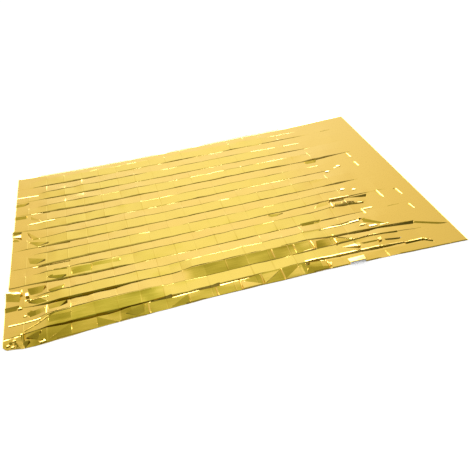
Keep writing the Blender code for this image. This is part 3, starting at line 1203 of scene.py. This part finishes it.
def studio_floor(context, settings):
    """A wide pale floor just under the sheet."""
    mesh = bpy.data.meshes.new("floor")
    plane = bmesh.new()
    bmesh.ops.create_grid(plane, x_segments=1, y_segments=1, size=settings.floor_size)
    plane.to_mesh(mesh)
    plane.free()
    floor = bpy.data.objects.new("floor", mesh)
    floor.location.z = -FLOOR_DROP
    context.scene.collection.objects.link(floor)
    material, _, shader = principled("floor_paint")
    shader.inputs["Base Color"].default_value = (*settings.floor_color, 1.0)
    shader.inputs["Roughness"].default_value = FLOOR_ROUGHNESS
    shader.inputs["Specular IOR Level"].default_value = 0.0
    mesh.materials.append(material)


def studio_camera(context, settings):
    """The camera, with its three axes from where it looks and its up."""
    data = bpy.data.cameras.new("camera")
    data.lens = settings.lens
    data.sensor_width = 36.0
    data.clip_end = 100.0
    camera = bpy.data.objects.new("camera", data)
    forward, up = np.array(CAMERA_FORWARD), np.array(CAMERA_UP)
    right = np.cross(forward, up)
    axes = Matrix([list(right), list(np.cross(right, forward)), list(-forward)]).transposed()
    camera.matrix_world = Matrix.Translation(CAMERA_AT) @ axes.to_4x4()
    context.scene.collection.objects.link(camera)
    context.scene.camera = camera


def light_ramp(tree, rows, low, high, factor, unit):
    """A ramp of (place, colour) rows over low to high, with its colours in units."""
    stops = [
        ((place - low) / (high - low), (*(level * unit for level in color), 1.0)) for place, color in rows
    ]
    return add_node(tree, "ShaderNodeValToRGB", {"stops": stops}, {"Fac": factor}).outputs["Color"]


def studio_light(context, settings):
    """A bright studio beyond the sheet, dimmer overhead and behind the camera."""
    world = bpy.data.worlds.new("studio")
    world.use_nodes = True
    tree = world.node_tree
    tree.nodes.clear()
    coordinates = add_node(tree, "ShaderNodeTexCoord")
    axes = add_node(tree, "ShaderNodeSeparateXYZ", sockets={"Vector": coordinates.outputs["Generated"]})
    x, y, z = (wrapped(tree, axes, name) for name in "XYZ")
    height = z.math("MAXIMUM", 0.0).math("MINIMUM", 1.0).math("ARCSINE") * float(2.0 / np.pi)
    level = ((x * x + y * y).math("SQRT")).math("MAXIMUM", 0.001)
    axis = np.radians(LIGHT_AZIMUTH)
    towards = (x * float(np.sin(axis)) + y * float(np.cos(axis))) / level
    back = light_ramp(tree, BACK_LIGHT, 0, 90, height, LIGHT_UNIT)
    spread = light_ramp(tree, BACK_SPREAD, -1, 1, towards * 0.5 + 0.5, 1.0)
    back = mixed(tree, "MULTIPLY", 1.0, back, spread)
    front = light_ramp(tree, FRONT_LIGHT, 0, 90, height, LIGHT_UNIT)
    spread = light_ramp(tree, FRONT_SPREAD, -1, 1, (x / level) * 0.5 + 0.5, 1.0)
    front = mixed(tree, "MULTIPLY", 1.0, front, spread)
    side = ramped(tree, towards, SIDE_BLEND, 0.0, 1.0, "SMOOTHSTEP")
    glossy = mixed(tree, "MIX", side, front, back)
    path = add_node(tree, "ShaderNodeLightPath")
    plain = (settings.fill * LIGHT_UNIT,) * 3 + (1.0,)
    seen = mixed(tree, "MIX", path.outputs["Is Glossy Ray"], plain, glossy)
    shade = add_node(tree, "ShaderNodeBackground", sockets={"Color": seen, "Strength": 1.0 / LIGHT_UNIT})
    add_node(tree, "ShaderNodeOutputWorld", sockets={"Surface": shade.outputs["Background"]})
    context.scene.world = world
    context.scene.view_settings.view_transform = "Standard"


class FOIL_PT_blanket(bpy.types.Panel):
    """The blanket's and the studio's settings"""

    bl_idname = "FOIL_PT_blanket"
    bl_label = "Foil Blanket"
    bl_space_type = "VIEW_3D"
    bl_region_type = "UI"
    bl_category = "Foil Blanket"

    def draw(self, context):
        groups = (
            (FOIL_OT_sheet, context.scene.foil_film, FoilFilmSettings),
            (FOIL_OT_studio, context.scene.foil_studio, FoilStudioSettings),
        )
        for operator, settings, kind in groups:
            box = self.layout.box()
            for name in kind.__annotations__:
                box.prop(settings, name)
            box.operator(operator.bl_idname)


CLASSES = (FoilFilmSettings, FoilStudioSettings, FOIL_OT_sheet, FOIL_OT_studio, FOIL_PT_blanket)


def register():
    for each in CLASSES:
        bpy.utils.register_class(each)
    bpy.types.Scene.foil_film = PointerProperty(type=FoilFilmSettings)
    bpy.types.Scene.foil_studio = PointerProperty(type=FoilStudioSettings)


def unregister():
    del bpy.types.Scene.foil_studio
    del bpy.types.Scene.foil_film
    for each in reversed(CLASSES):
        bpy.utils.unregister_class(each)


def main():
    register()
    bpy.ops.foil.sheet()
    bpy.ops.foil.studio()


if __name__ == "__main__":
    main()
